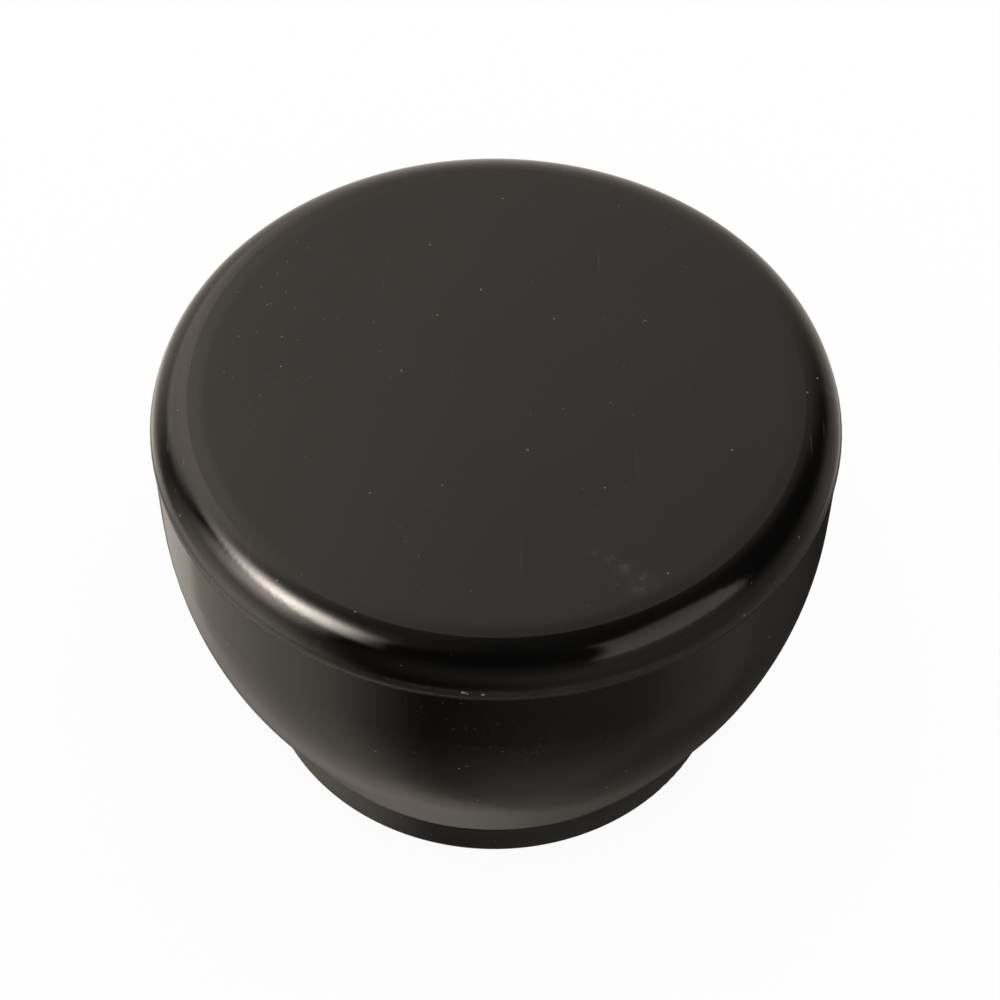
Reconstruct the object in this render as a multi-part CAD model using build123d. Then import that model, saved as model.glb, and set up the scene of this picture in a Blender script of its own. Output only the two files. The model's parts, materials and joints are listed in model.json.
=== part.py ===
"""Push-fit end cap for a 50 mm pipe: a black moulded cap that closes the end of a pipe.

The pipe enters from below, through the release collet, the grab ring and two seals, and stops
against a pad in the blind socket. Millimetres, +Z up, origin in the middle of the collet's rim,
which is the face the cap stands on. Every piece is a ring or disc about Z.
"""
from build123d import *
import os
from math import cos, radians, sin, sqrt, tan

# ---- driving dimensions ----
PIPE_RADIUS = 25.0
SOCKET_RADIUS = PIPE_RADIUS + 0.3    # wall that guides the pipe
CAP_HEIGHT = 56.7
CAP_RADIUS = 42.1             # upright wall of the bowl and the cover, flush at their joint
WALL = 3.0
OVERLAP = 0.5                 # how far joined features of one piece run into each other

# end cover
COVER_EDGE_RADIUS = 4.7       # rounded edge round the flat top
RIM_Z = CAP_HEIGHT - 5.5             # joint between cover and body
BEAD_HEIGHT = 1.6             # low, soft ridge just above the joint
BEAD_PROUD = 0.15
BEAD_ROOT = 0.1               # how far the ridge's ends lie inside the wall
SPIGOT_DEPTH = 3.0
SPIGOT_WALL = 1.9
COVER_RIBS = 8
COVER_RIB_THICKNESS = 1.5
COVER_RIB_DEPTH = 1.5
COVER_HUB_RADIUS = 6.0

# bowl of the body: upright, then one arc, then a straight taper down to the lip
BOWL_ARC_TOP_Z = 41.6
BOWL_ARC_RADIUS = 59.0
BOWL_TAPER = 22.5             # degrees from upright
LIP_Z = 8.3
LIP_ROUND = 0.8
BODY_RIBS = 12
BODY_RIB_THICKNESS = 2.0
BODY_RIB_TOP_Z = 48.0

# mouth, counted up from the lip
RETAINER_LOW_Z = LIP_Z + 0.3
SHOULDER_Z = LIP_Z + 2.4
RETAINER_TOP_Z = LIP_Z + 6.2
NOSE_RADIUS = 29.6
RUNNING_GAP = 0.08            # radial play of the collet's sleeve
KEYWAY_RADIUS = 28.1
KEYWAY_WIDTH = 7.0
WIRE_RADIUS = 0.9
WIRE_GAP_ANGLE = 24.0
ASSEMBLY_GAP = 0.1            # radial gap of the pieces pushed into the body

# grab ring
SHEET = 0.6
BEND_RADIUS = 28.2
TOOTH_TIP_RADIUS = PIPE_RADIUS + 0.15
TEETH = 20
TOOTH_SLIT = 1.1
TOOTH_BACK_GAP = 0.05         # between the teeth and their support
SUPPORT_HEIGHT = 4.5

# seals
SEAL_INNER_RADIUS = PIPE_RADIUS + 0.15
SEAL_THICKNESS = 4.2          # along the pipe, squeezed shape
WASHER_THICKNESS = 1.6
SPACER_THICKNESS = 2.0
SEAL_GAP = 0.02               # all round a seal in its space
WASHER_BORE = PIPE_RADIUS + 0.45
WASHER_CHAMFER = 0.25
PAD_CHAMFER = 0.3

# socket, counted up from the grip parts
GRIP_RADIUS = 30.8            # counterbore for the retainer, grab ring and tooth support
GRIP_TOP_Z = RETAINER_TOP_Z + SHEET + SUPPORT_HEIGHT
SEAL_RADIUS = 28.6            # counterbore for the seals
SEAL_TOP_Z = GRIP_TOP_Z + WASHER_THICKNESS + SPACER_THICKNESS + 2 * SEAL_THICKNESS
SOCKET_TOP_Z = 46.0           # where the pipe's end stops
PAD_THICKNESS = 1.5
PAD_SEAT_RADIUS = 26.2        # undercut that the soft pad snaps into
PAD_HOLE_RADIUS = 8.0
END_WALL_TOP_Z = SOCKET_TOP_Z + PAD_THICKNESS + WALL
CAVITY_FLOOR_Z = GRIP_TOP_Z + 1.0

# release collet
FLANGE_RADIUS = 31.3
FLANGE_HEIGHT = 5.6
COLLET_BORE = PIPE_RADIUS + 0.4
SLEEVE_RADIUS = 27.0
CORING_INNER = 27.8           # groove that lightens the flange from below
CORING_OUTER = 29.4
CORING_DEPTH = 3.6
WEB_THICKNESS = 1.2
WEB_SETBACK = 0.6
RIM_ROUND = 0.7
MOUTH_CHAMFER = 1.0
FINGERS = 6
FINGER_SLIT = 1.6
SLIT_FLOOR_Z = FLANGE_HEIGHT + 1.0
BARB_RADIUS = 27.9
BARB_WIDTH = 6.4
BARB_LOW_Z = LIP_Z + 2.3
BARB_HEIGHT = 1.5
TRAVEL = 2.2
NOSE_GAP = 0.15               # left between nose and teeth at the end of the travel


def turned(*outline):
    """Solid of revolution about Z from (radius, height) points."""
    edge = Polyline(*[(r, 0, z) for r, z in outline], close=True)
    return revolve(make_face(edge), Axis.Z, 360)


def ring(inner, outer, low, high):
    return turned((inner, low), (outer, low), (outer, high), (inner, high))


def soft_edges(part, size):
    """Small chamfer on every circular edge of a plain ring."""
    return chamfer(part.edges().filter_by(GeomType.CIRCLE), size)


def radial_bar(angle, inner, outer, width, low, high):
    """Upright bar that points outwards from the axis at the given angle."""
    bar = Box(outer - inner, width, high - low)
    return Rot(0, 0, angle) * Pos((inner + outer) / 2, 0, (low + high) / 2) * bar


def radial_bars(count, inner, outer, width, low, high, start=0.0):
    bars = [
        radial_bar(start + 360 * i / count, inner, outer, width, low, high)
        for i in range(count)
    ]
    return Compound(children=bars)


def bowl_wall(inset, low):
    """Edges of the bowl's wall, moved inwards by inset: upright, arc and taper down to low."""
    centre_r = CAP_RADIUS - BOWL_ARC_RADIUS
    arc_radius = BOWL_ARC_RADIUS - inset
    half, full = radians(BOWL_TAPER / 2), radians(BOWL_TAPER)

    def on_arc(turn):
        return (centre_r + arc_radius * cos(turn), 0, BOWL_ARC_TOP_Z - arc_radius * sin(turn))

    top = (CAP_RADIUS - inset, 0, RIM_Z)
    taper_start = on_arc(full)
    taper_end = (taper_start[0] - (taper_start[2] - low) * tan(full), 0, low)
    return [
        Line(top, on_arc(0)),
        ThreePointArc(on_arc(0), on_arc(half), taper_start),
        Line(taper_start, taper_end),
    ]


def bowl_solid(inset, low):
    """Everything inside the bowl's wall, from low to the rim."""
    wall = bowl_wall(inset, low)
    start, end = wall[0] @ 0, wall[-1] @ 1
    outline = [
        *wall,
        Line(end, (0, 0, end.Z)),
        Line((0, 0, end.Z), (0, 0, start.Z)),
        Line((0, 0, start.Z), start),
    ]
    return revolve(make_face(outline), Axis.Z, 360)


def end_cover():
    """Flat-topped cover with a rounded edge, a low ridge at its rim and ribs inside."""
    flat_radius = CAP_RADIUS - COVER_EDGE_RADIUS
    edge_low_z = CAP_HEIGHT - COVER_EDGE_RADIUS
    diagonal = COVER_EDGE_RADIUS / sqrt(2)
    bead_mid_z = RIM_Z + BEAD_HEIGHT / 2
    bead_root = CAP_RADIUS - BEAD_ROOT
    ceiling_z = CAP_HEIGHT - WALL
    spigot_outer = CAP_RADIUS - WALL - ASSEMBLY_GAP
    outline = [
        Line((0, 0, CAP_HEIGHT), (flat_radius, 0, CAP_HEIGHT)),
        ThreePointArc(
            (flat_radius, 0, CAP_HEIGHT),
            (flat_radius + diagonal, 0, edge_low_z + diagonal),
            (CAP_RADIUS, 0, edge_low_z),
        ),
        Line((CAP_RADIUS, 0, edge_low_z), (CAP_RADIUS, 0, RIM_Z)),
        Polyline(
            (CAP_RADIUS, 0, RIM_Z),
            (spigot_outer, 0, RIM_Z),
            (spigot_outer, 0, RIM_Z - SPIGOT_DEPTH),
            (spigot_outer - SPIGOT_WALL, 0, RIM_Z - SPIGOT_DEPTH),
            (spigot_outer - SPIGOT_WALL, 0, ceiling_z),
            (0, 0, ceiling_z),
            (0, 0, CAP_HEIGHT),
        ),
    ]
    shell = revolve(make_face(outline), Axis.Z, 360)
    bead_foot = (bead_root, 0, RIM_Z)
    bead_head = (bead_root, 0, RIM_Z + BEAD_HEIGHT)
    bead_face = make_face([
        ThreePointArc(bead_foot, (CAP_RADIUS + BEAD_PROUD, 0, bead_mid_z), bead_head),
        Polyline(bead_head, (CAP_RADIUS - BEAD_HEIGHT, 0, bead_mid_z), bead_foot),
    ])
    bead = revolve(bead_face, Axis.Z, 360)
    rib_low = ceiling_z - COVER_RIB_DEPTH
    ribs = radial_bars(
        COVER_RIBS, COVER_HUB_RADIUS - OVERLAP, spigot_outer - SPIGOT_WALL + OVERLAP,
        COVER_RIB_THICKNESS, rib_low, ceiling_z + OVERLAP,
    )
    hub_bore = COVER_HUB_RADIUS - COVER_RIB_THICKNESS
    hub = ring(hub_bore, COVER_HUB_RADIUS, rib_low, ceiling_z + OVERLAP)
    return shell + bead + hub + list(ribs.children)


def body_shell():
    """Bowl with its lip, blind socket and the ribs between the two."""
    outside = bowl_solid(0, LIP_Z)
    lip_edge = outside.edges().filter_by(GeomType.CIRCLE).sort_by(Axis.Z)[0]
    outside = fillet(lip_edge, LIP_ROUND)

    tube_low = SEAL_RADIUS + WALL
    tube_high = SOCKET_RADIUS + WALL
    step_z = SEAL_TOP_Z + WALL
    tube = turned(
        (0, 0),
        (tube_low, 0),
        (tube_low, step_z),
        (tube_high, step_z + tube_low - tube_high),
        (tube_high, END_WALL_TOP_Z),
        (0, END_WALL_TOP_Z),
    )
    cavity = bowl_solid(WALL, CAVITY_FLOOR_Z) - tube
    rib_zone = cavity & Pos(0, 0, BODY_RIB_TOP_Z / 2) * Cylinder(CAP_RADIUS, BODY_RIB_TOP_Z)
    ribs = [
        rib_zone & bar
        for bar in radial_bars(
            BODY_RIBS, SOCKET_RADIUS, CAP_RADIUS, BODY_RIB_THICKNESS, 0, BODY_RIB_TOP_Z
        ).children
    ]
    bore = turned(
        (0, 0),
        (GRIP_RADIUS, 0),
        (GRIP_RADIUS, GRIP_TOP_Z),
        (SEAL_RADIUS, GRIP_TOP_Z),
        (SEAL_RADIUS, SEAL_TOP_Z),
        (SOCKET_RADIUS, SEAL_TOP_Z),
        (SOCKET_RADIUS, SOCKET_TOP_Z),
        (PAD_SEAT_RADIUS, SOCKET_TOP_Z),
        (PAD_SEAT_RADIUS, SOCKET_TOP_Z + PAD_THICKNESS),
        (0, SOCKET_TOP_Z + PAD_THICKNESS),
    )
    wire_groove = wire_ring(WIRE_RADIUS + ASSEMBLY_GAP, 360)
    return outside - cavity + ribs - bore - wire_groove


def wire_ring(radius, sweep_angle):
    """Round-wire ring seated half in the body, in front of the retainer's shoulder."""
    section = Pos(GRIP_RADIUS, 0, SHOULDER_Z - WIRE_RADIUS) * Rot(90, 0, 0) * Circle(radius)
    return revolve(section, Axis.Z, sweep_angle)


def retaining_wire():
    return Rot(0, 0, WIRE_GAP_ANGLE / 2) * wire_ring(WIRE_RADIUS, 360 - WIRE_GAP_ANGLE)


def retainer_ring():
    """Ring that closes the mouth, holds the grip parts in and guides the collet's fingers."""
    bore = SLEEVE_RADIUS + RUNNING_GAP
    outer = GRIP_RADIUS - ASSEMBLY_GAP
    blank = turned(
        (bore, RETAINER_LOW_Z),
        (NOSE_RADIUS, RETAINER_LOW_Z),
        (NOSE_RADIUS, SHOULDER_Z),
        (outer, SHOULDER_Z),
        (outer, RETAINER_TOP_Z),
        (bore, RETAINER_TOP_Z),
    )
    keyway_low = BARB_LOW_Z - 0.1
    keyways = radial_bars(
        FINGERS, SLEEVE_RADIUS - 2, KEYWAY_RADIUS, KEYWAY_WIDTH, keyway_low, RETAINER_TOP_Z + 1
    )
    return blank - list(keyways.children)


def release_collet():
    """Push ring with a split sleeve: its nose opens the grab ring's teeth when pressed in."""
    nose_outer_z = RETAINER_TOP_Z + BEND_RADIUS - SLEEVE_RADIUS - TRAVEL - NOSE_GAP
    nose_inner_z = nose_outer_z + SLEEVE_RADIUS - COLLET_BORE
    blank = turned(
        (COLLET_BORE + MOUTH_CHAMFER, 0),
        (FLANGE_RADIUS, 0),
        (FLANGE_RADIUS, FLANGE_HEIGHT),
        (SLEEVE_RADIUS, FLANGE_HEIGHT),
        (SLEEVE_RADIUS, nose_outer_z),
        (COLLET_BORE, nose_inner_z),
        (COLLET_BORE, MOUTH_CHAMFER),
    )
    rim_edges = [
        e for e in blank.edges().filter_by(GeomType.CIRCLE)
        if abs(e.radius - FLANGE_RADIUS) < 0.01
    ]
    blank = fillet(rim_edges, RIM_ROUND)

    coring = ring(CORING_INNER, CORING_OUTER, -1, CORING_DEPTH)
    webs = radial_bars(
        2 * FINGERS, CORING_INNER - OVERLAP, CORING_OUTER + OVERLAP, WEB_THICKNESS,
        WEB_SETBACK, CORING_DEPTH + OVERLAP,
    )
    barb_high = BARB_LOW_Z + BARB_HEIGHT
    barb_ring = turned(
        (SLEEVE_RADIUS - OVERLAP, BARB_LOW_Z),
        (BARB_RADIUS, BARB_LOW_Z),
        (BARB_RADIUS, BARB_LOW_Z + BARB_HEIGHT / 3),
        (SLEEVE_RADIUS - OVERLAP, barb_high),
    )
    barbs = [
        barb_ring & bar
        for bar in radial_bars(
            FINGERS, COLLET_BORE, BARB_RADIUS + 1, BARB_WIDTH, BARB_LOW_Z, barb_high
        ).children
    ]
    slits = radial_bars(
        FINGERS, COLLET_BORE - 2, BARB_RADIUS + 1, FINGER_SLIT,
        SLIT_FLOOR_Z, nose_inner_z + 1, start=180 / FINGERS,
    )
    cored = blank - coring
    return cored + list(webs.children) + barbs - list(slits.children)


def grab_ring():
    """Stainless ring whose bent teeth bite the pipe and let it pass one way only."""
    slope_offset = SHEET * sqrt(2)
    rise = BEND_RADIUS - TOOTH_TIP_RADIUS
    low = RETAINER_TOP_Z
    half_offset = slope_offset / 2
    blank = turned(
        (GRIP_RADIUS - 2 * ASSEMBLY_GAP, low),
        (GRIP_RADIUS - 2 * ASSEMBLY_GAP, low + SHEET),
        (BEND_RADIUS + slope_offset - SHEET, low + SHEET),
        (TOOTH_TIP_RADIUS + half_offset, low + rise + half_offset),
        (TOOTH_TIP_RADIUS, low + rise),
        (BEND_RADIUS, low),
    )
    slits = radial_bars(
        TEETH, TOOTH_TIP_RADIUS - 2, BEND_RADIUS + 0.1, TOOTH_SLIT, low - 1, low + rise + 2
    )
    return blank - list(slits.children)


def tooth_support():
    """Ring with a cone that backs the teeth and forms the front wall of the seal space."""
    low = RETAINER_TOP_Z + SHEET
    bore = WASHER_BORE + ASSEMBLY_GAP
    cone_sum = BEND_RADIUS + RETAINER_TOP_Z + SHEET * sqrt(2) + TOOTH_BACK_GAP
    return turned(
        (cone_sum - low, low),
        (GRIP_RADIUS - ASSEMBLY_GAP, low),
        (GRIP_RADIUS - ASSEMBLY_GAP, GRIP_TOP_Z),
        (bore, GRIP_TOP_Z),
        (bore, cone_sum - bore),
    )


def washer(low, thickness):
    plain = ring(WASHER_BORE, SEAL_RADIUS - ASSEMBLY_GAP, low, low + thickness)
    return soft_edges(plain, WASHER_CHAMFER)


def seal(low):
    """O-ring in the oval shape it has when squeezed between the pipe and the body."""
    outer = SEAL_RADIUS - SEAL_GAP
    middle = (SEAL_INNER_RADIUS + outer) / 2
    section = Ellipse((outer - SEAL_INNER_RADIUS) / 2, SEAL_THICKNESS / 2 - SEAL_GAP)
    placed = Pos(middle, 0, low + SEAL_THICKNESS / 2) * Rot(90, 0, 0) * section
    return revolve(placed, Axis.Z, 360)


def stop_pad():
    """Soft pad that the pipe's end meets, open in the middle."""
    high = SOCKET_TOP_Z + PAD_THICKNESS
    pad = ring(PAD_HOLE_RADIUS, PAD_SEAT_RADIUS - ASSEMBLY_GAP, SOCKET_TOP_Z, high)
    return soft_edges(pad, PAD_CHAMFER)


front_seal_z = GRIP_TOP_Z + WASHER_THICKNESS
spacer_z = front_seal_z + SEAL_THICKNESS
rear_seal_z = spacer_z + SPACER_THICKNESS

pieces = {
    "end_cover": end_cover(),
    "body_shell": body_shell(),
    "stop_pad": stop_pad(),
    "rear_seal": seal(rear_seal_z),
    "seal_spacer": washer(spacer_z, SPACER_THICKNESS),
    "front_seal": seal(front_seal_z),
    "seal_washer": washer(GRIP_TOP_Z, WASHER_THICKNESS),
    "tooth_support": tooth_support(),
    "grab_ring": grab_ring(),
    "retainer_ring": retainer_ring(),
    "retaining_wire": retaining_wire(),
    "release_collet": release_collet(),
}

os.makedirs("parts", exist_ok=True)
for name, shape in pieces.items():
    export_step(shape, f"parts/{name}.step")
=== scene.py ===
"""Looks of the push-fit pipe cap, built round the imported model. Metres, +Z up."""
import json
import math

import bmesh
import bpy
from mathutils import Matrix, Vector, noise

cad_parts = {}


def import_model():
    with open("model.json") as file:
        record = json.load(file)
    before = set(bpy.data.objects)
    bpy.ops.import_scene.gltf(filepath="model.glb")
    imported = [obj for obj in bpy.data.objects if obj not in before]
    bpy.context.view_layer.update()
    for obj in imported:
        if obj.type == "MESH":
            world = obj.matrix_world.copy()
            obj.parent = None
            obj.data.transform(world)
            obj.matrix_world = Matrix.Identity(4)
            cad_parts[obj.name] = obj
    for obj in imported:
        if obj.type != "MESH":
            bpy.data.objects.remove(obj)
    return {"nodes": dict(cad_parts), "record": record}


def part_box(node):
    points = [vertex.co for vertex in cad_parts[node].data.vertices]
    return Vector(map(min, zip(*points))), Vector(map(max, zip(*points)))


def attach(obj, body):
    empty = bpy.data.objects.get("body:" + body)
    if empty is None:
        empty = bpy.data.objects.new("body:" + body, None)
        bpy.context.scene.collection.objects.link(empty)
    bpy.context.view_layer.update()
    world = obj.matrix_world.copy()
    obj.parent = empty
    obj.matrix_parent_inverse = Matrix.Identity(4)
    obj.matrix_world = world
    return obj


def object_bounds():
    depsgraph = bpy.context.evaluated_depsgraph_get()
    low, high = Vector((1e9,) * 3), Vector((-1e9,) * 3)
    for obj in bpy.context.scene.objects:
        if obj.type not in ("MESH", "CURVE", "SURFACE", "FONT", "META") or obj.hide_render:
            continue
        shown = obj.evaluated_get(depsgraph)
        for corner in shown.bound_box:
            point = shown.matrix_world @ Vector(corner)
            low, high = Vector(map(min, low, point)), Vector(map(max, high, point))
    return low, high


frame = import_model()
cad_low, cad_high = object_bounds()
nodes = frame["nodes"]
MM = 0.001

cap_top = cad_high[2]
body_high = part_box("body_shell")[1]
wall_radius = body_high[0]
joint_z = body_high[2]
ridge_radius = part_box("end_cover")[1][0]
ridge_height = 1.6 * MM
edge_radius = 4.7 * MM
flat_radius = wall_radius - edge_radius


# ---------- node helpers ----------

class Shader:
    """A material's node tree, with short calls for the nodes used below."""

    def __init__(self, name):
        self.material = bpy.data.materials.new(name)
        self.material.use_nodes = True
        self.tree = self.material.node_tree
        self.surface = self.tree.nodes["Principled BSDF"]
        coordinates = self.tree.nodes.new("ShaderNodeTexCoord")
        self.place = coordinates.outputs["Object"]

    def node(self, kind, **settings):
        """A new node of this kind, with these settings."""
        made = self.tree.nodes.new("ShaderNode" + kind)
        for key, value in settings.items():
            setattr(made, key, value)
        return made

    def feed(self, socket, value):
        """Links an output to the socket, or sets a constant on it."""
        if isinstance(value, bpy.types.NodeSocket):
            self.tree.links.new(value, socket)
        else:
            socket.default_value = value

    def calc(self, operation, a, b=0.0, clamp=False):
        """One sum. a and b are each an output or a number."""
        made = self.node("Math", operation=operation, use_clamp=clamp)
        self.feed(made.inputs[0], a)
        self.feed(made.inputs[1], b)
        return made.outputs[0]

    def channel(self, vector, axis):
        """The vector's x, y or z, as axis 0, 1 or 2."""
        parts = self.node("SeparateXYZ")
        self.feed(parts.inputs[0], vector)
        return parts.outputs[axis]

    def from_axis(self):
        """Distance from the cap's axis."""
        x = self.channel(self.place, 0)
        y = self.channel(self.place, 1)
        squared = self.calc("ADD", self.calc("MULTIPLY", x, x), self.calc("MULTIPLY", y, y))
        return self.calc("SQRT", squared)

    def noise(self, scale, detail=2.0, roughness=0.5, place=None):
        """Smooth noise round 0.5, with about scale waves to the metre."""
        made = self.node("TexNoise")
        self.feed(made.inputs["Vector"], place or self.place)
        made.inputs["Scale"].default_value = scale
        made.inputs["Detail"].default_value = detail
        made.inputs["Roughness"].default_value = roughness
        return made.outputs["Fac"]

    def stretched(self, x, y, z, turn=0.0):
        """The place in the part's frame, turned by degrees about the axis and scaled by x, y, z."""
        made = self.node("Mapping")
        self.feed(made.inputs["Vector"], self.place)
        made.inputs["Scale"].default_value = (x, y, z)
        made.inputs["Rotation"].default_value = (0, 0, math.radians(turn))
        return made.outputs["Vector"]

    def ramp(self, value, low, high, out_low=0.0, out_high=1.0):
        """Smooth step from out_low, where the value is low, to out_high, where it is high."""
        made = self.node("MapRange", interpolation_type="SMOOTHSTEP")
        self.feed(made.inputs["Value"], value)
        made.inputs["From Min"].default_value = low
        made.inputs["From Max"].default_value = high
        made.inputs["To Min"].default_value = out_low
        made.inputs["To Max"].default_value = out_high
        return made.outputs["Result"]

    def mix_color(self, factor, a, b):
        """Colour a where the factor is 0, b where it is 1."""
        made = self.node("Mix", data_type="RGBA")
        self.feed(made.inputs[0], factor)
        self.feed(made.inputs[6], a)
        self.feed(made.inputs[7], b)
        return made.outputs[2]

    def bump(self, height, strength, distance, normal=None):
        """Relief for shading only, over the relief that normal already holds."""
        made = self.node("Bump")
        made.inputs["Strength"].default_value = strength
        made.inputs["Distance"].default_value = distance
        self.feed(made.inputs["Height"], height)
        if normal is not None:
            self.feed(made.inputs["Normal"], normal)
        return made.outputs["Normal"]

    def finish(self, color, roughness, normal=None, **constants):
        """Feeds the surface. The constants are its other inputs, with _ for each space."""
        self.feed(self.surface.inputs["Base Color"], color)
        self.feed(self.surface.inputs["Roughness"], roughness)
        if normal is not None:
            self.feed(self.surface.inputs["Normal"], normal)
        for name, value in constants.items():
            self.surface.inputs[name.replace("_", " ")].default_value = value
        return self.material


# ---------- materials ----------

# where the flat top has been knocked: x, y, reach and strength
SCUFFS = [
    (14.5 * MM, -27.7 * MM, 1.8 * MM, 1.0),
    (16.9 * MM, -29.5 * MM, 2.6 * MM, 0.75),
    (13.3 * MM, -26.2 * MM, 1.3 * MM, 0.5),
    (11.9 * MM, -24.6 * MM, 2.3 * MM, 0.5),
]
# dust lies thicker about this place on the top, and as far as this from it along x, y and z
LINT_CENTRE = (-30 * MM, 12 * MM, cap_top)
LINT_REACH = (16 * MM, 22 * MM, 9 * MM)

# how far down from the top the satin fades into the gloss of the edge
SATIN_DEPTH = 0.8 * MM
# the flat's roll-off near its edge: where it starts and ends round flat_radius, and its depth
CROWN_INSIDE = 2.2 * MM
CROWN_OUTSIDE = 1.2 * MM
CROWN_DEPTH = 0.11 * MM

SHELL_DARK = (0.0017, 0.0016, 0.0016, 1)
SHELL_LIGHT = (0.0031, 0.0027, 0.0023, 1)
# the ridge's lighter colour: rubbed wear with a painted highlight along the bead
SHELL_RUB_AND_HIGHLIGHT = (0.0100, 0.0092, 0.0084, 1)
SHELL_SCRAPED = (0.045, 0.042, 0.039, 1)
SHELL_DUST = (0.11, 0.105, 0.10, 1)


def specks(s, spacing, radius, share):
    """1 on small round specks, scattered about spacing apart, on that share of the places."""
    cells = s.node("TexVoronoi", feature="F1")
    s.feed(cells.inputs["Vector"], s.place)
    cells.inputs["Scale"].default_value = 1 / spacing
    edge = radius / spacing
    dot = s.ramp(cells.outputs["Distance"], edge, edge * 0.5)
    chosen = s.calc("LESS_THAN", s.channel(cells.outputs["Color"], 0), share)
    return s.calc("MULTIPLY", dot, chosen)


def scratches(s, turn, amount):
    """Thin, long marks in one direction, broken up so that few of them show."""
    line = s.noise(1, 1, place=s.stretched(1800, 40, 1800, turn))
    patch = s.noise(70, 2, place=s.stretched(1, 1, 1, turn + 40))
    thin = s.ramp(line, 0.70, 0.76)
    return s.calc("MULTIPLY", thin, s.ramp(patch, 0.52, 0.72, 0.0, amount))


def near(s, centre, reach):
    """1 around a point in the part's frame, fading to 0 at reach. reach may differ by axis."""
    shifted = s.node("VectorMath", operation="SUBTRACT")
    s.feed(shifted.inputs[0], s.place)
    shifted.inputs[1].default_value = centre
    scaled = s.node("VectorMath", operation="DIVIDE")
    s.feed(scaled.inputs[0], shifted.outputs["Vector"])
    scaled.inputs[1].default_value = reach
    length = s.node("VectorMath", operation="LENGTH")
    s.feed(length.inputs[0], scaled.outputs["Vector"])
    return s.ramp(length.outputs["Value"], 1.0, 0.2)


def shell_dust(s):
    """Dust all over, thicker at the left of the flat top."""
    coarse = specks(s, 3.2 * MM, 0.17 * MM, 0.8)
    fine = specks(s, 1.9 * MM, 0.07 * MM, 0.7)
    lint = s.calc("MULTIPLY", specks(s, 1.3 * MM, 0.12 * MM, 0.8), near(s, LINT_CENTRE, LINT_REACH))
    return s.calc("MAXIMUM", s.calc("ADD", coarse, fine, clamp=True), lint)


def shell_marks(s):
    """Broken-up marks where the top has been knocked, light rubs all over, and fine scratches."""
    knocked = 0.0
    for x, y, reach, strength in SCUFFS:
        mark = s.calc("MULTIPLY", near(s, (x, y, cap_top), (reach, reach, reach)), strength)
        knocked = s.calc("MAXIMUM", mark, knocked)
    knocked = s.calc("MULTIPLY", knocked, s.ramp(s.noise(600, 3, 0.6), 0.38, 0.62, 0.15, 1.0))
    rubs = s.ramp(s.noise(38, 5, 0.7), 0.62, 0.82)
    dots = s.ramp(s.noise(1500, 3, 0.7), 0.48, 0.62)
    scuff = s.calc("MULTIPLY", s.calc("MAXIMUM", rubs, knocked), dots)
    haze = s.calc("MULTIPLY", knocked, 0.4)
    wear = s.calc("ADD", scratches(s, 20, 0.6), scratches(s, 115, 0.5), clamp=True)
    return s.calc("MAXIMUM", s.calc("MAXIMUM", scuff, haze), wear)


def shell_relief(s, height, dust):
    """Ripple on the edge, faint sinks, fine grain, raised dust and the flat top's roll-off."""
    on_edge = s.calc("MULTIPLY", s.ramp(height, cap_top - edge_radius, cap_top - 0.7 * edge_radius),
                     s.ramp(height, cap_top - 0.1 * MM, cap_top - 0.5 * MM))
    rippled = s.calc("MULTIPLY", s.calc("MULTIPLY", s.noise(1400, 2), on_edge),
                     s.ramp(s.noise(60, 2), 0.42, 0.62))
    peel = s.bump(rippled, 0.20, 0.08 * MM)
    sink = s.bump(s.noise(90, 2), 0.12, 0.25 * MM, peel)
    grain = s.bump(s.noise(3200, 2), 0.10, 0.02 * MM, sink)
    raised = s.bump(dust, 0.5, 0.06 * MM, grain)
    rolled = s.ramp(s.from_axis(), flat_radius - CROWN_INSIDE, flat_radius + CROWN_OUTSIDE, 1.0, 0.0)
    rolled = s.calc("MULTIPLY", rolled, s.calc("GREATER_THAN", height, joint_z))
    return s.bump(rolled, 1.0, CROWN_DEPTH, raised)


def shell_plastic():
    """Black moulded plastic: satin flat top, glossy edge and bowl, rubbed ridge painted lighter as a
    highlight, dust and wear.
    """
    s = Shader("shell_plastic")
    height = s.channel(s.place, 2)
    on_top = s.ramp(height, cap_top - SATIN_DEPTH, cap_top - 0.02 * MM)
    from_ridge = s.calc("ABSOLUTE", s.calc("SUBTRACT", height, joint_z + ridge_height / 2))
    on_ridge = s.ramp(from_ridge, 0.66 * ridge_height, 0.38 * ridge_height)
    # the ridge rubbed rougher, and lightened in colour as a painted highlight
    rub_and_highlight = s.calc("MULTIPLY", on_ridge, s.ramp(s.noise(160, 4, 0.6), 0.25, 0.6, 0.55, 1.0))
    dust = shell_dust(s)
    marks = shell_marks(s)

    tone = s.mix_color(s.ramp(s.noise(45, 4), 0.3, 0.7), SHELL_DARK, SHELL_LIGHT)
    # painted highlight along the ridge, over its rubbed wear
    tone = s.mix_color(rub_and_highlight, tone, SHELL_RUB_AND_HIGHLIGHT)
    tone = s.mix_color(s.calc("MULTIPLY", marks, 0.9), tone, SHELL_SCRAPED)
    color = s.mix_color(dust, tone, SHELL_DUST)

    cloud = s.ramp(s.noise(55, 4, 0.6), 0.3, 0.7, -0.015, 0.02)
    satin = s.calc("MULTIPLY", on_top, 0.14)
    roughness = s.calc("ADD", s.calc("ADD", cloud, satin), 0.065)
    roughness = s.calc("ADD", roughness, s.calc("MULTIPLY", rub_and_highlight, 0.24))
    roughness = s.calc("ADD", roughness, s.calc("MULTIPLY", marks, 0.18))
    roughness = s.calc("ADD", roughness, s.calc("MULTIPLY", dust, 0.5), clamp=True)
    return s.finish(color, roughness, shell_relief(s, height, dust), IOR=1.5)


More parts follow.
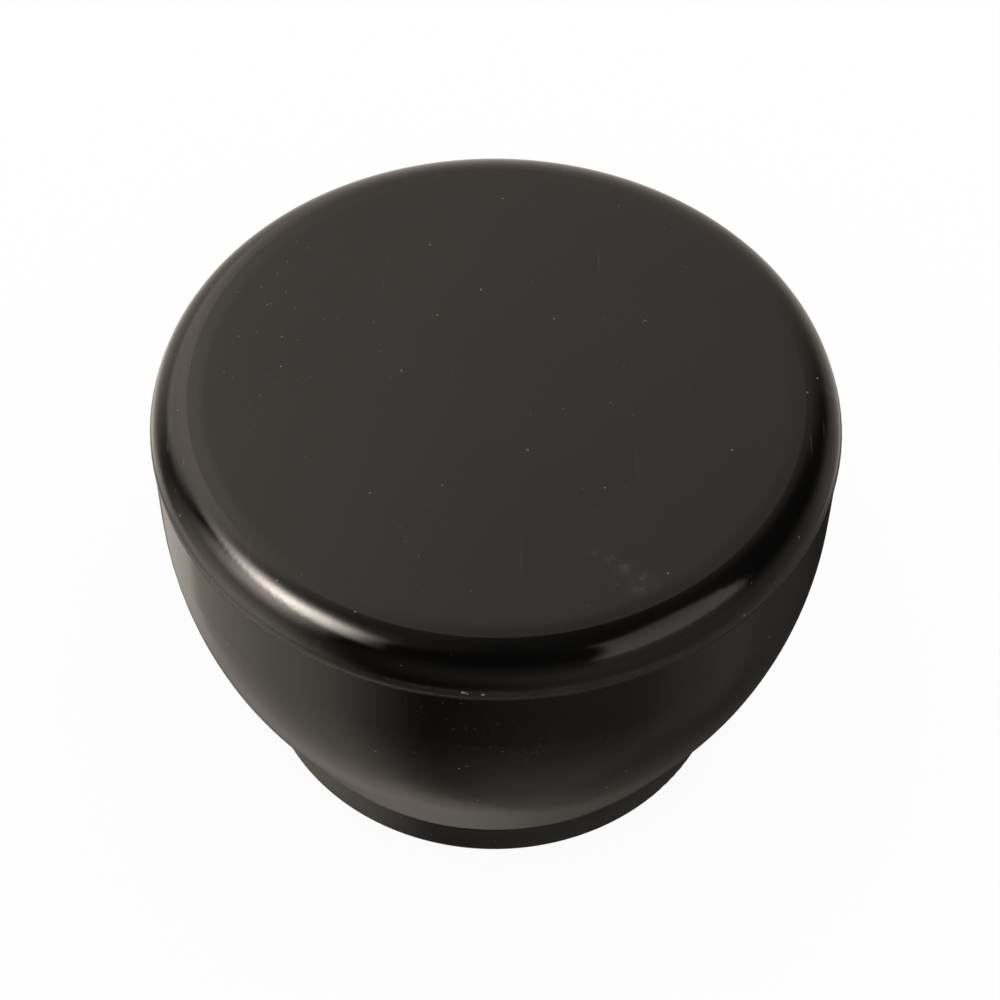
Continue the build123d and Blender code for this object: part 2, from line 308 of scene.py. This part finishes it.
def collet_plastic():
    """Black glass-filled plastic: semi-matt, with a fine moulded grain and some dust."""
    s = Shader("collet_plastic")
    flow = s.noise(60, 4, 0.6, place=s.stretched(1, 1, 6))
    tone = s.mix_color(s.ramp(flow, 0.3, 0.7), (0.0045, 0.0042, 0.0044, 1), (0.0085, 0.0078, 0.0077, 1))
    dust = specks(s, 2.6 * MM, 0.11 * MM, 0.7)
    color = s.mix_color(dust, tone, (0.14, 0.13, 0.12, 1))
    roughness = s.ramp(s.noise(260, 4, 0.6), 0.3, 0.7, 0.30, 0.44)
    grain = s.bump(s.noise(2600, 3, 0.6), 0.25, 0.04 * MM)
    return s.finish(color, roughness, s.bump(dust, 0.4, 0.05 * MM, grain), IOR=1.5)


def inner_plastic():
    """Natural off-white acetal, slightly waxy, faintly clouded."""
    s = Shader("inner_plastic")
    tone = s.mix_color(s.noise(90, 4, 0.6), (0.50, 0.47, 0.40, 1), (0.66, 0.63, 0.55, 1))
    roughness = s.ramp(s.noise(300, 3), 0.3, 0.7, 0.30, 0.42)
    grain = s.bump(s.noise(1500, 3), 0.15, 0.04 * MM)
    return s.finish(tone, roughness, grain, Subsurface_Weight=0.08, Subsurface_Scale=0.6 * MM)


def seal_rubber():
    """Black rubber under a thin film of clear grease, smeared unevenly."""
    s = Shader("seal_rubber")
    tone = s.mix_color(s.noise(140, 3), (0.009, 0.009, 0.009, 1), (0.016, 0.016, 0.015, 1))
    film = s.ramp(s.noise(110, 4, 0.6), 0.42, 0.6)
    roughness = s.ramp(film, 0.0, 1.0, 0.55, 0.20)
    skin = s.bump(s.noise(1100, 3), 0.2, 0.05 * MM)
    smear = s.bump(film, 0.3, 0.05 * MM, skin)
    return s.finish(tone, roughness, smear, Coat_Weight=0.25, Coat_Roughness=0.12)


def stainless_sheet():
    """Stainless spring sheet with fine drawn lines."""
    s = Shader("stainless_sheet")
    lines = s.noise(1, 3, 0.6, place=s.stretched(300, 5200, 1200, 15))
    tone = s.mix_color(s.noise(120, 3), (0.53, 0.51, 0.48, 1), (0.64, 0.63, 0.61, 1))
    roughness = s.ramp(lines, 0.3, 0.7, 0.20, 0.36)
    grain = s.bump(lines, 0.12, 0.02 * MM)
    return s.finish(tone, roughness, grain, Metallic=1.0)


def flash_plastic():
    """The shell's plastic squeezed out thin along the joint, matt, with crumbs above it painted pale as
    glints.
    """
    s = Shader("flash_plastic")
    tone = s.mix_color(s.noise(500, 3), (0.004, 0.0037, 0.0034, 1), (0.009, 0.0082, 0.0075, 1))
    # the crumbs above the joint painted pale: a painted glint
    crumb_glint = s.ramp(s.channel(s.place, 2), joint_z + 0.4 * MM, joint_z + 0.6 * MM)
    tone = s.mix_color(crumb_glint, tone, (0.11, 0.107, 0.10, 1))
    roughness = s.ramp(s.noise(900, 3), 0.3, 0.7, 0.48, 0.64)
    return s.finish(tone, roughness, s.bump(s.noise(1500, 3), 0.2, 0.03 * MM), IOR=1.5)


MATERIAL_MAKERS = [
    shell_plastic, collet_plastic, inner_plastic, seal_rubber, stainless_sheet, flash_plastic
]
materials = {make.__name__: make() for make in MATERIAL_MAKERS}
for part in frame["record"]["subparts"]:
    target = nodes[part["node"]]
    target.data.materials.clear()
    target.data.materials.append(materials[part["material_slot"]])


# ---------- flash at the joint ----------

# how deep the flash is sunk into the plastic that it sits on
FLASH_SUNK = 0.12 * MM
# the burr along the joint, least and most: how far it stands proud, and half its height
BURR_PROUD = (0.02 * MM, 0.07 * MM)
BURR_HALF = (0.06 * MM, 0.12 * MM)
# how far it wanders up and down from the joint
BURR_DRIFT = 0.05 * MM
# places round the cap, and points in the section at each
BURR_STEPS = 900
BURR_POINTS = 7
# angle round the cap (front is -90), height above the joint, half width, how proud
FLASH_NUBS = [
    (-94.5, 1.32 * MM, 0.24 * MM, 0.12 * MM),
    (-93.9, 1.16 * MM, 0.13 * MM, 0.10 * MM),
    (-91.5, 1.12 * MM, 0.20 * MM, 0.12 * MM),
    (-90.8, 1.06 * MM, 0.11 * MM, 0.08 * MM),
    (-47.0, 1.25 * MM, 0.12 * MM, 0.10 * MM),
    (-141.0, 1.20 * MM, 0.14 * MM, 0.10 * MM),
    (38.0, 1.30 * MM, 0.18 * MM, 0.12 * MM),
]
NUB_LOOPS = 5
NUB_POINTS = 12
# how much wider than high a nub is, and how lumpy its outline
NUB_STRETCH = 1.3
NUB_LUMP = 0.35


def wavy(angle, scale, seed):
    """Smooth, repeatable unevenness round the cap, -1 to 1."""
    return noise.noise(Vector((math.cos(angle) * scale, math.sin(angle) * scale, seed)))


def between(ends, share):
    """The value that lies that share of the way from the first end to the second."""
    least, most = ends
    return least + (most - least) * share


def add_nub(mesh, angle, z, width, proud):
    """Small lumpy mound on the ridge, in rings round its tip."""
    out = Vector((math.cos(angle), math.sin(angle), 0))
    side = Vector((-out.y, out.x, 0))
    foot = out * (ridge_radius - FLASH_SUNK) + Vector((0, 0, z))
    tip = mesh.verts.new(foot + out * proud)
    previous = None
    for level in range(1, NUB_LOOPS + 1):
        spread = math.sin(math.pi / 2 * level / NUB_LOOPS)
        rise = math.cos(math.pi / 2 * level / NUB_LOOPS)
        ring = []
        for place in range(NUB_POINTS):
            turn = math.tau * place / NUB_POINTS
            lump = 1 + NUB_LUMP * wavy(turn, 1, angle * 30)
            flat = side * math.cos(turn) * NUB_STRETCH + Vector((0, 0, math.sin(turn)))
            ring.append(mesh.verts.new(foot + flat * (width * spread * lump) + out * (proud * rise)))
        for place in range(NUB_POINTS):
            after = (place + 1) % NUB_POINTS
            if previous is None:
                mesh.faces.new((tip, ring[place], ring[after]))
            else:
                mesh.faces.new((previous[place], ring[place], ring[after], previous[after]))
        previous = ring
    mesh.faces.new(list(reversed(previous)))


def joint_flash():
    """Uneven burr squeezed out along the joint, with a few crumbs on the ridge above it."""
    mesh = bmesh.new()
    rings = []
    for step in range(BURR_STEPS):
        angle = math.tau * step / BURR_STEPS
        swell = 0.5 + 0.35 * wavy(angle, 9, 3.1) + 0.25 * wavy(angle, 40, 7.7)
        swell = min(max(swell, 0), 1)
        proud = between(BURR_PROUD, swell)
        half = between(BURR_HALF, swell)
        middle = joint_z + BURR_DRIFT * wavy(angle, 14, 1.9)
        ring = []
        for place in range(BURR_POINTS):
            turn = math.pi * (place / (BURR_POINTS - 1) - 0.5)
            radius = wall_radius - FLASH_SUNK + (FLASH_SUNK + proud) * math.cos(turn)
            ring.append(mesh.verts.new((
                radius * math.cos(angle), radius * math.sin(angle), middle + half * math.sin(turn)
            )))
        rings.append(ring)
    for ring, following in zip(rings, rings[1:] + rings[:1]):
        for place in range(BURR_POINTS):
            after = (place + 1) % BURR_POINTS
            mesh.faces.new((ring[place], following[place], following[after], ring[after]))
    for angle, height, width, proud in FLASH_NUBS:
        add_nub(mesh, math.radians(angle), joint_z + height, width, proud)
    bmesh.ops.recalc_face_normals(mesh, faces=mesh.faces)
    data = bpy.data.meshes.new("joint_flash")
    mesh.to_mesh(data)
    mesh.free()
    for face in data.polygons:
        face.use_smooth = True
    piece = bpy.data.objects.new("joint_flash", data)
    bpy.context.scene.collection.objects.link(piece)
    data.materials.append(materials["flash_plastic"])
    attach(piece, "housing")


joint_flash()


# ---------- floor, camera, studio ----------

def floor():
    """Pale floor. It is left out of reflections, where the world stands in for the studio."""
    half = 4.0
    mesh = bpy.data.meshes.new("floor")
    corners = [(-half, -half, 0), (half, -half, 0), (half, half, 0), (-half, half, 0)]
    mesh.from_pydata(corners, [], [(0, 1, 2, 3)])
    piece = bpy.data.objects.new("floor", mesh)
    bpy.context.scene.collection.objects.link(piece)
    s = Shader("floor_white")
    s.finish((0.07, 0.07, 0.07, 1), 0.9, Specular_IOR_Level=0.0, Emission_Strength=0.93)
    s.surface.inputs["Emission Color"].default_value = (1, 1, 1, 1)
    mesh.materials.append(s.material)
    piece.visible_glossy = False


def camera():
    """Camera at the photograph's angle, looking down at the cap from the front."""
    data = bpy.data.cameras.new("camera")
    data.lens = 92.1
    data.sensor_width = 36.0
    data.clip_start = 0.01
    lens = bpy.data.objects.new("camera", data)
    # from the middle of the flat top in metres, then degrees: where it stands and how it is held
    distance = 0.310
    elevation = 48.96
    pitch, turn, roll = 51.52, -0.17, 0.80
    lens.location = (
        0,
        -distance * math.cos(math.radians(elevation)),
        cap_top + distance * math.sin(math.radians(elevation)),
    )
    level = Matrix.Rotation(math.radians(turn), 3, "Z")
    tilted = Matrix.Rotation(math.radians(90 - pitch), 3, "X")
    rolled = Matrix.Rotation(math.radians(roll), 3, "Z")
    lens.rotation_euler = (level @ tilted @ rolled).to_euler()
    bpy.context.scene.collection.objects.link(lens)
    bpy.context.scene.camera = lens


# The studio as the gloss sees it, made of soft-edged patches of sky, floor and windows. Angles
# are in degrees: azimuth from the back of the cap round to its right, elevation above level,
# half the width and height, how far the sides and the top and bottom take to fade, and how far
# the sides lean for each degree up. Brightness is against the plain background's 1.
STUDIO = {
    # name: (azimuth, elevation, half width, half height, side fade, top fade, lean, brightness)
    "left_window": (-99, 54, 17, 10, 54, 16, 0.4, 22.0),
    "left_window_glow": (-106, 38, 16, 15, 30, 44, 0.0, 6.5),
    "left_wall": (-105, -13, 22, 25, 38, 37, 0.0, 1.1),
    "left_floor": (-80, -46, 53, 21, 54, 46, 0.0, 0.50),
    "left_card": (-34.5, -43, 15.5, 12, 9, 8, 0.3, 0.30),
    "left_skirting": (-72, -29, 14, 5, 12, 12, 0.0, 0.38),
    "left_dim": (-84, 10, 13, 18, 16, 20, 0.0, 0.15),
    "back_left_wall": (-42, 40, 24, 20, 26, 16, -0.1, 1.45),
    "back_left_glow": (-24, 50, 18, 14, 24, 16, 0.0, 0.28),
    "back_left_floor": (-26, -8, 32, 30, 34, 23, 0.0, 0.74),
    "back_wall": (13, 9, 24, 52, 44, 5, -0.3, 0.67),
    "back_right_floor": (52, -8, 22, 18, 20, 22, 0.0, 0.20),
    "right_window": (119.5, 46, 24.5, 20, 7, 8, -0.42, 0.58),
    "right_window_glow": (121, 37, 23.5, 18, 7, 30, -0.35, 0.42),
    "right_floor": (116, -19, 59, 31, 60, 34, 0.0, 0.21),
    "front_room": (161, 12, 52, 19, 32, 34, 0.0, 0.10),
    "right_low": (100, -56, 20, 8, 24, 16, 0.0, 0.06),
    "under": (0, -90, 400, 27, 10, 36, 0.0, 0.075),
    "under_left": (-45, -79, 60, 6, 60, 30, 0.0, 0.20),
    "under_front": (150, -70, 40, 10, 40, 12, 0.0, 0.06),
    "underneath": (0, -90, 400, 9, 10, 12, 0.0, 0.055),
}
# brightness between the patches, and the colour of all of it
STUDIO_DARK = 0.012
STUDIO_TINT = (1.11, 1.0, 0.895, 1)


class Sky:
    """The world's node tree, with the sums that the studio's patches need."""

    def __init__(self, tree):
        self.tree = tree
        direction = tree.nodes.new("ShaderNodeTexCoord").outputs["Generated"]
        parts = tree.nodes.new("ShaderNodeSeparateXYZ")
        tree.links.new(direction, parts.inputs[0])
        x, y, z = parts.outputs
        self.azimuth = self.calc("DEGREES", self.calc("ARCTAN2", x, y))
        self.elevation = self.calc("DEGREES", self.calc("ARCSINE", z))

    def calc(self, operation, *values):
        node = self.tree.nodes.new("ShaderNodeMath")
        node.operation = operation
        for socket, value in zip(node.inputs, values):
            if isinstance(value, bpy.types.NodeSocket):
                self.tree.links.new(value, socket)
            else:
                socket.default_value = value
        return node.outputs[0]

    def fade(self, offset, half, fade):
        """1 where the offset is well within half, 0 well past it."""
        node = self.tree.nodes.new("ShaderNodeMapRange")
        node.interpolation_type = "SMOOTHSTEP"
        self.tree.links.new(self.calc("ABSOLUTE", offset), node.inputs["Value"])
        node.inputs["From Min"].default_value = half + fade / 2
        node.inputs["From Max"].default_value = half - fade / 2
        return node.outputs["Result"]

    def patch(self, azimuth, elevation, half_width, half_height, side_fade, top_fade, lean, bright):
        """One of the studio's patches: its brightness inside, 0 outside."""
        up = self.calc("SUBTRACT", self.elevation, elevation)
        centre = self.calc("MULTIPLY_ADD", up, lean, azimuth)
        across = self.calc("WRAP", self.calc("SUBTRACT", self.azimuth, centre), 180.0, -180.0)
        inside = self.calc(
            "MULTIPLY", self.fade(across, half_width, side_fade), self.fade(up, half_height, top_fade)
        )
        return self.calc("MULTIPLY", inside, bright)


def world():
    """White dome for the camera and for diffuse light, the studio's patches for reflections."""
    made = bpy.data.worlds.new("studio")
    made.use_nodes = True
    tree = made.node_tree
    plain = tree.nodes["Background"]
    plain.inputs["Color"].default_value = (1, 1, 1, 1)
    seen = tree.nodes.new("ShaderNodeBackground")
    seen.inputs["Color"].default_value = STUDIO_TINT
    sky = Sky(tree)
    total = STUDIO_DARK
    for values in STUDIO.values():
        total = sky.calc("ADD", sky.patch(*values), total)
    tree.links.new(total, seen.inputs["Strength"])
    choose = tree.nodes.new("ShaderNodeMixShader")
    glossy = tree.nodes.new("ShaderNodeLightPath").outputs["Is Glossy Ray"]
    tree.links.new(glossy, choose.inputs[0])
    tree.links.new(plain.outputs[0], choose.inputs[1])
    tree.links.new(seen.outputs[0], choose.inputs[2])
    tree.links.new(choose.outputs[0], tree.nodes["World Output"].inputs["Surface"])
    made.cycles.sampling_method = "NONE"
    bpy.context.scene.world = made


floor()
world()
camera()
bpy.context.scene.view_settings.view_transform = "Standard"
